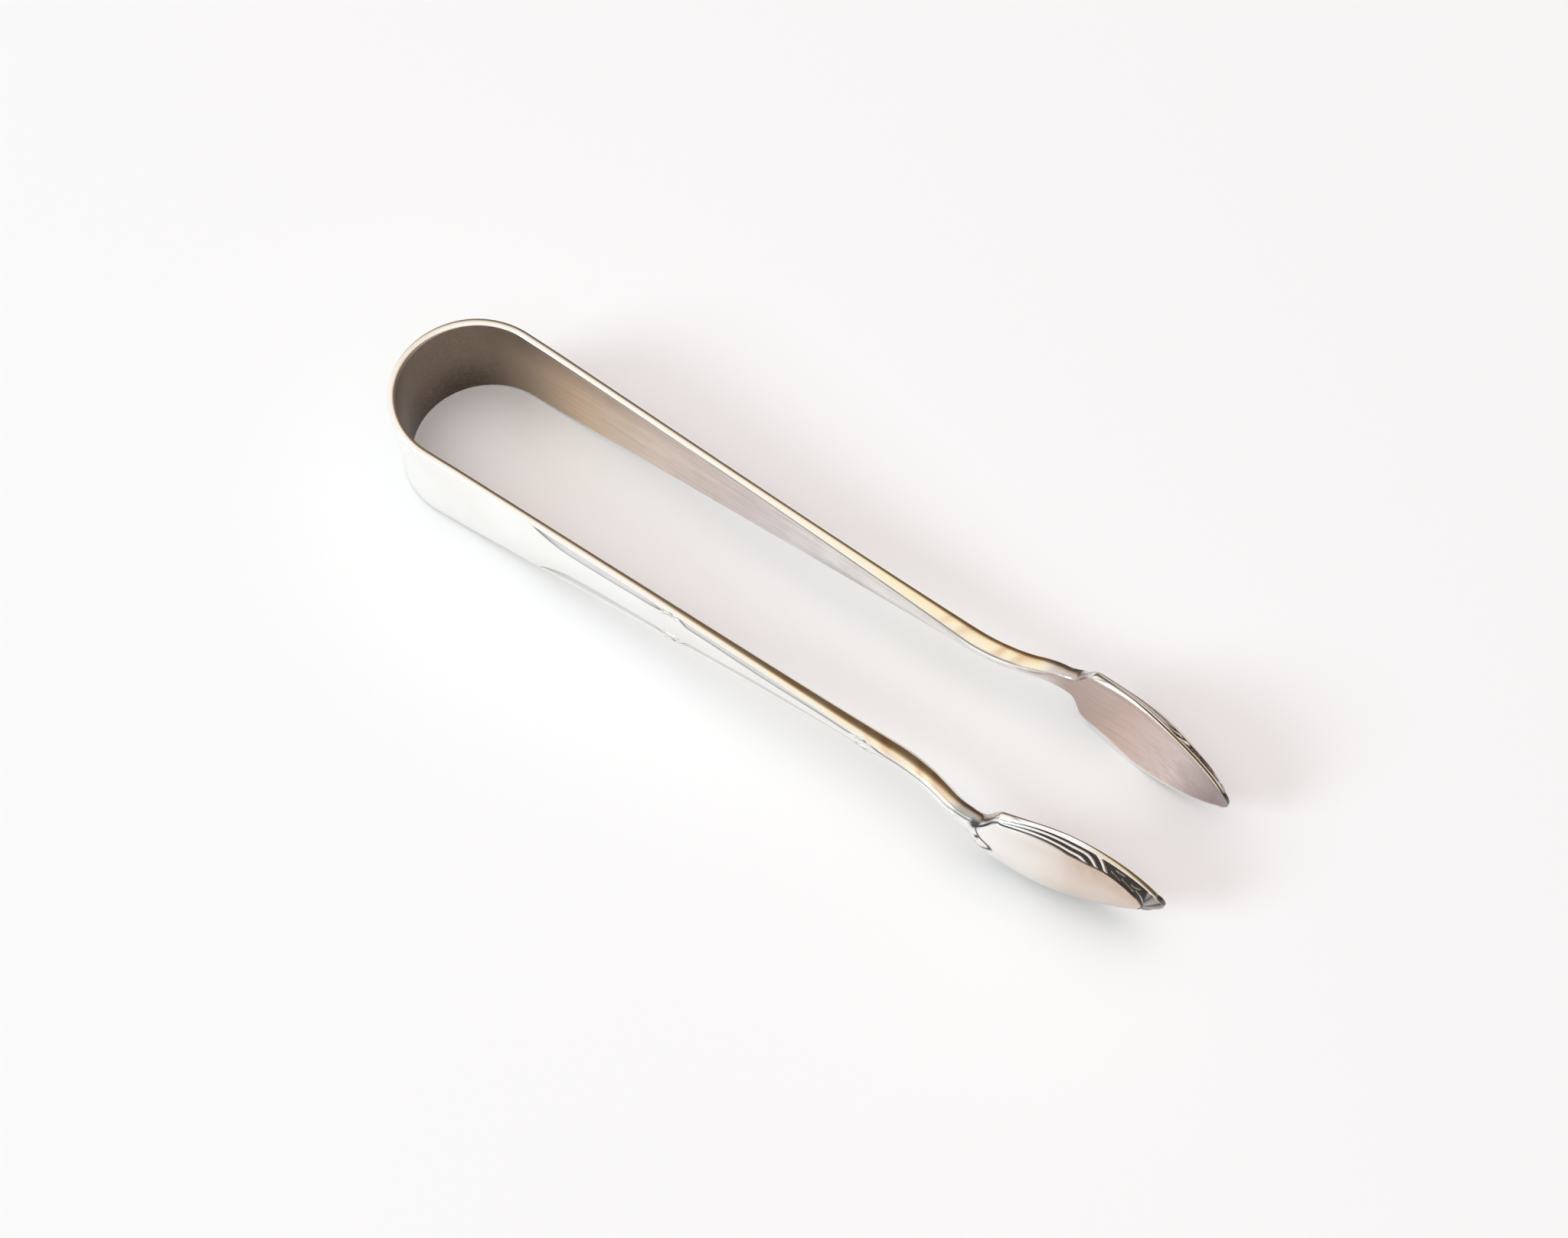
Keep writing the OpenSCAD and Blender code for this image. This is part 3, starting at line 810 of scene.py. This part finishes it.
def plate(name, points, normals, deep, inside, tone):
    """A closed mesh through rings of points, capped at both ends, with the given normals on its sides."""
    rings, n, _ = points.shape
    first, last = rings * n, rings * n + 1
    verts = np.concatenate([points.reshape(-1, 3), [points[0].mean(axis=0)], [points[-1].mean(axis=0)]])
    i, j = np.meshgrid(np.arange(rings - 1), np.arange(n), indexing="ij")
    a, b = (i * n + j).ravel(), (i * n + (j + 1) % n).ravel()
    quads = np.stack([a, b, b + n, a + n], axis=1)
    k = np.arange(n)
    cap0 = np.stack([np.full(n, first), (k + 1) % n, k], axis=1)
    top = (rings - 1) * n
    cap1 = np.stack([np.full(n, last), top + k, top + (k + 1) % n], axis=1)
    p = verts[quads]
    face = np.cross(p[:, 1] - p[:, 0], p[:, 2] - p[:, 0])
    flat = normals.reshape(-1, 3)
    if np.sum(face * flat[quads[:, 0]]) < 0:
        quads, cap0, cap1 = quads[:, ::-1], cap0[:, ::-1], cap1[:, ::-1]
    mesh = bpy.data.meshes.new(name)
    mesh.from_pydata(verts.tolist(), [], quads.tolist() + cap0.tolist() + cap1.tolist())
    side_normals = flat[quads].reshape(-1, 3)
    cap_normals = []
    for cap in (cap0, cap1):
        q = verts[cap]
        m = np.cross(q[:, 1] - q[:, 0], q[:, 2] - q[:, 0]).sum(axis=0)
        cap_normals.append(np.repeat([m / np.linalg.norm(m)], 3 * n, axis=0))
    mesh.polygons.foreach_set("use_smooth", np.ones(len(mesh.polygons), bool))
    mesh.update()
    mesh.normals_split_custom_set(np.concatenate([side_normals, *cap_normals]).tolist())
    for label, value in (("recess", deep), ("inside", inside)):
        attribute = mesh.attributes.new(label, "FLOAT", "POINT")
        flat_value = np.concatenate([value.ravel(), [value[0].mean(), value[-1].mean()]])
        attribute.data.foreach_set("value", flat_value.astype(np.float32))
    tones_of = np.concatenate([tone.reshape(-1, 3), [tone[0].mean(axis=0)], [tone[-1].mean(axis=0)]])
    attribute = mesh.attributes.new("tone", "FLOAT_COLOR", "POINT")
    rgba = np.concatenate([tones_of, np.ones((len(tones_of), 1))], axis=1)
    attribute.data.foreach_set("color", rgba.ravel().astype(np.float32))
    obj = bpy.data.objects.new(name, mesh)
    bpy.context.scene.collection.objects.link(obj)
    return obj


# Materials
WARM_SILVER = (0.90, 0.865, 0.81, 1)
STREAK = (0.34, 0.27, 0.23, 1)
GROOVE = (0.035, 0.031, 0.028, 1)
# How a value is spread: the lowest and highest that count, and what they become
BLOTCH_WARM = (0.42, 0.68, 0.0, 0.5)
BLOTCH_DARK = (0.45, 0.7, 0.0, 0.14)
BLOTCH_ROUGH = (0.35, 0.7, 0.12, 0.2)
STREAK_DARK = (0.4, 0.68, 0.0, 0.28)
ONLY_OUTSIDE = (0.0, 1.0, 1.0, 0.0)
RECESS_DARK = (0.0, 1.0, 0.0, 0.97)
INSIDE_ROUGH = 0.16
RECESS_ROUGH = 0.25
STREAK_HEIGHT = 0.6
SCRATCH_HEIGHT = 0.4


def node(tree, kind, inputs=None, **settings):
    n = tree.nodes.new(kind)
    for key, value in settings.items():
        setattr(n, key, value)
    for key, value in (inputs or {}).items():
        if isinstance(value, bpy.types.NodeSocket):
            tree.links.new(value, n.inputs[key])
        else:
            n.inputs[key].default_value = value
    return n


def mix(tree, factor, a, b):
    n = tree.nodes.new("ShaderNodeMix")
    n.data_type = "RGBA"
    for socket, value in ((n.inputs[0], factor), (n.inputs[6], a), (n.inputs[7], b)):
        if isinstance(value, bpy.types.NodeSocket):
            tree.links.new(value, socket)
        else:
            socket.default_value = value
    return n.outputs[2]


def spread(tree, value, low, high, to_low, to_high):
    n = node(tree, "ShaderNodeMapRange", {0: value, 1: low, 2: high, 3: to_low, 4: to_high})
    return n.outputs[0]


def add(tree, a, b):
    return node(tree, "ShaderNodeMath", {0: a, 1: b}, operation="ADD").outputs[0]


def times(tree, a, b):
    return node(tree, "ShaderNodeMath", {0: a, 1: b}, operation="MULTIPLY").outputs[0]


def tones(tree, value, steps):
    n = node(tree, "ShaderNodeValToRGB", {0: value})
    elements = n.color_ramp.elements
    while len(elements) < len(steps):
        elements.new(0.5)
    for element, (at, colour) in zip(elements, steps):
        element.position = at
        element.color = (*colour, 1)
    return n.outputs[0]


def noise(tree, vector, scale, detail, roughness):
    inputs = {"Vector": vector, "Scale": scale, "Detail": detail, "Roughness": roughness}
    return node(tree, "ShaderNodeTexNoise", inputs).outputs[0]


def silver_plate():
    """Worn plate: the tone of each point with its painted shade, blotches, streaks on the inner face, and
    dark recesses, partly oxide and partly painted shade.
    """
    material = bpy.data.materials.new("worn_silver_plate")
    material.use_nodes = True
    tree = material.node_tree
    tree.nodes.clear()
    out = node(tree, "ShaderNodeOutputMaterial")
    shader = node(tree, "ShaderNodeBsdfPrincipled", {"Metallic": 1.0})
    place = node(tree, "ShaderNodeTexCoord").outputs["Object"]
    recess = node(tree, "ShaderNodeAttribute", attribute_name="recess").outputs["Fac"]
    inside = node(tree, "ShaderNodeAttribute", attribute_name="inside").outputs["Fac"]
    tone = node(tree, "ShaderNodeAttribute", attribute_name="tone").outputs["Color"]
    blotch = noise(tree, place, scale=170.0, detail=4.0, roughness=0.6)
    along = node(tree, "ShaderNodeMapping", {"Vector": place, "Scale": (90.0, 2600.0, 2600.0)}).outputs[0]
    streak = noise(tree, along, scale=1.0, detail=3.0, roughness=0.65)
    slant = {"Vector": place, "Rotation": (0.3, 0.5, 0.7), "Scale": (150.0, 5200.0, 900.0)}
    slant = node(tree, "ShaderNodeMapping", slant).outputs[0]
    scratch = noise(tree, slant, scale=1.0, detail=2.0, roughness=0.5)
    blotched = times(tree, spread(tree, blotch, *BLOTCH_WARM), spread(tree, inside, *ONLY_OUTSIDE))
    base = mix(tree, blotched, tone, WARM_SILVER)
    streaked = add(tree, spread(tree, streak, *STREAK_DARK), spread(tree, blotch, *BLOTCH_DARK))
    base = mix(tree, times(tree, inside, streaked), base, STREAK)
    # recesses darken to the groove colour: oxide in the lines and marks, and painted shade in the flutes and
    # along the inner corners of the edges
    base = mix(tree, spread(tree, recess, *RECESS_DARK), base, GROOVE)
    tree.links.new(base, shader.inputs["Base Color"])
    rough = spread(tree, blotch, *BLOTCH_ROUGH)
    rough = add(tree, rough, times(tree, inside, INSIDE_ROUGH))
    rough = add(tree, rough, times(tree, recess, RECESS_ROUGH))
    tree.links.new(rough, shader.inputs["Roughness"])
    height = add(tree, times(tree, streak, STREAK_HEIGHT), times(tree, scratch, SCRATCH_HEIGHT))
    bump = node(tree, "ShaderNodeBump", {"Strength": 0.12, "Distance": 0.00003, "Height": height})
    tree.links.new(bump.outputs[0], shader.inputs["Normal"])
    tree.links.new(shader.outputs[0], out.inputs[0])
    return material


MATERIAL = silver_plate()


def finish_piece(obj, node_name):
    obj.data.materials.append(MATERIAL)
    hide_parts(node_name)


bow_range = slice(0, crown_i + 1)


def both(v, flip=lambda v: v):
    """Rings of the whole bow, from those of its left half."""
    return np.concatenate([flip(v[bow_range][:0:-1]), v[bow_range]])


bow_points, bow_normals = both(POINTS, mirrored), both(NORMALS, mirrored)
bow_plate = plate("bow_plate", bow_points, bow_normals, both(DEEP), both(INSIDE), both(TONE))
finish_piece(bow_plate, "bow")
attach(bow_plate, "bow")

for hand, flip in (("left", lambda v: v), ("right", mirrored)):
    arm_range = slice(crown_i, leaf_i + 1)
    arm = plate(hand + "_arm_plate", flip(POINTS[arm_range]), flip(NORMALS[arm_range]),
                DEEP[arm_range], INSIDE[arm_range], TONE[arm_range])
    finish_piece(arm, hand + "_arm")
    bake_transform(arm)
    grip_range = slice(leaf_i, len(S))
    grip = plate(hand + "_grip_plate", flip(POINTS[grip_range]), flip(NORMALS[grip_range]),
                 DEEP[grip_range], INSIDE[grip_range], TONE[grip_range])
    finish_piece(grip, hand + "_grip")
    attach(grip, hand + "_side")

# Floor
FLOOR_REACH = 4.0
FLOOR_DROP = 0.00002
PAPER = (0.93, 0.93, 0.93, 1)
floor_mesh = bpy.data.meshes.new("floor")
floor_mesh.from_pydata([(-FLOOR_REACH, -FLOOR_REACH, 0), (FLOOR_REACH, -FLOOR_REACH, 0),
                        (FLOOR_REACH, FLOOR_REACH, 0), (-FLOOR_REACH, FLOOR_REACH, 0)], [], [(0, 1, 2, 3)])
floor = bpy.data.objects.new("floor", floor_mesh)
bpy.context.scene.collection.objects.link(floor)
floor.location.z = -FLOOR_DROP
paper = bpy.data.materials.new("pale_floor")
paper.use_nodes = True
paper_shader = paper.node_tree.nodes["Principled BSDF"]
paper_shader.inputs["Base Color"].default_value = PAPER
paper_shader.inputs["Roughness"].default_value = 0.9
paper_shader.inputs["Specular IOR Level"].default_value = 0.1
floor_mesh.materials.append(paper)

# Light: a pale surround, brightest overhead. In the metal it shows as a window on one side and a dim room on
# the other
WINDOW = (-0.35, -0.75, 0.55)
ROOM_TONES = (
    (0.0, (0.15, 0.10, 0.07)),
    (0.06, (0.25, 0.175, 0.115)),
    (0.18, (0.48, 0.38, 0.27)),
    (0.31, (0.92, 0.86, 0.76)),
    (0.42, (1.0, 0.97, 0.92)),
    (0.55, (1.0, 1.0, 1.0)),
)
SURROUND = (0.875, 0.82, 0.81, 1)
BACKDROP = (1, 1, 1, 1)
OVERHEAD_POWER = 3.0
# keeps the floor as bright as under an even surround of the same colour
OVERHEAD_LEVEL = (OVERHEAD_POWER + 2) / 2
world = bpy.data.worlds.new("studio")
bpy.context.scene.world = world
world.use_nodes = True
wt = world.node_tree
wt.nodes.clear()
world_out = node(wt, "ShaderNodeOutputWorld")
direction = node(wt, "ShaderNodeTexCoord").outputs["Generated"]
window = Vector(WINDOW).normalized()
facing = node(wt, "ShaderNodeVectorMath", {0: direction, 1: window}, operation="DOT_PRODUCT")
facing = facing.outputs["Value"]
path = node(wt, "ShaderNodeLightPath")
seen = node(wt, "ShaderNodeBackground", {"Color": tones(wt, facing, ROOM_TONES), "Strength": 1.0})
up_share = node(wt, "ShaderNodeSeparateXYZ", {0: direction}).outputs["Z"]
up_share = node(wt, "ShaderNodeMath", {0: up_share, 1: 0.0}, operation="MAXIMUM").outputs[0]
overhead = node(wt, "ShaderNodeMath", {0: up_share, 1: OVERHEAD_POWER}, operation="POWER").outputs[0]
overhead = times(wt, overhead, OVERHEAD_LEVEL)
even = node(wt, "ShaderNodeBackground", {"Color": SURROUND, "Strength": overhead})
backdrop = node(wt, "ShaderNodeBackground", {"Color": BACKDROP, "Strength": 1.0})
glossy, direct = path.outputs["Is Glossy Ray"], path.outputs["Is Camera Ray"]
lit = node(wt, "ShaderNodeMixShader", {0: glossy, 1: even.outputs[0], 2: seen.outputs[0]})
shown = node(wt, "ShaderNodeMixShader", {0: direct, 1: lit.outputs[0], 2: backdrop.outputs[0]})
wt.links.new(shown.outputs[0], world_out.inputs[0])


def soft_lamp(name, toward, distance, size, watts, colour):
    """A round soft lamp that shines at the middle of the part from one direction."""
    lamp = bpy.data.lights.new(name, "AREA")
    lamp.shape = "DISK"
    lamp.size = size
    lamp.energy = watts
    lamp.color = colour
    obj = bpy.data.objects.new(name, lamp)
    obj.location = Vector(toward).normalized() * distance
    obj.rotation_mode = "QUATERNION"
    obj.rotation_quaternion = (-Vector(toward)).to_track_quat("-Z", "Y")
    bpy.context.scene.collection.objects.link(obj)
    return obj


KEY_TOWARD = (-0.48, -0.64, 0.52)
KEY_COLOUR = (0.75, 0.96, 1.0)
soft_lamp("key", KEY_TOWARD, distance=2.0, size=0.8, watts=14.6, colour=KEY_COLOUR)

# Camera: the photograph is 2048 by 1617 pixels, seen with this many pixels of focal length
PHOTO_W = 2048
FOCAL_PX = 3000.0
SENSOR = 36.0
AZIMUTH = math.radians(33.9917)
ELEVATION = math.radians(64.3359)
DISTANCE = 0.264957
TARGET = Vector((0.0007434, -0.0015116, 0.007))
camera = bpy.data.objects.new("camera", bpy.data.cameras.new("camera"))
bpy.context.scene.collection.objects.link(camera)
camera.data.sensor_fit = "HORIZONTAL"
camera.data.sensor_width = SENSOR
camera.data.lens = FOCAL_PX * SENSOR / PHOTO_W
level = math.cos(ELEVATION)
back = Vector((math.sin(AZIMUTH) * level, -math.cos(AZIMUTH) * level, math.sin(ELEVATION)))
right = Vector((math.cos(AZIMUTH), math.sin(AZIMUTH), 0))
up = back.cross(right)
camera.matrix_world = Matrix((
    (right.x, up.x, back.x, TARGET.x + back.x * DISTANCE),
    (right.y, up.y, back.y, TARGET.y + back.y * DISTANCE),
    (right.z, up.z, back.z, TARGET.z + back.z * DISTANCE),
    (0, 0, 0, 1),
))
camera.data.clip_start = 0.01
camera.data.clip_end = 50
bpy.context.scene.camera = camera
bpy.context.scene.view_settings.view_transform = "Standard"
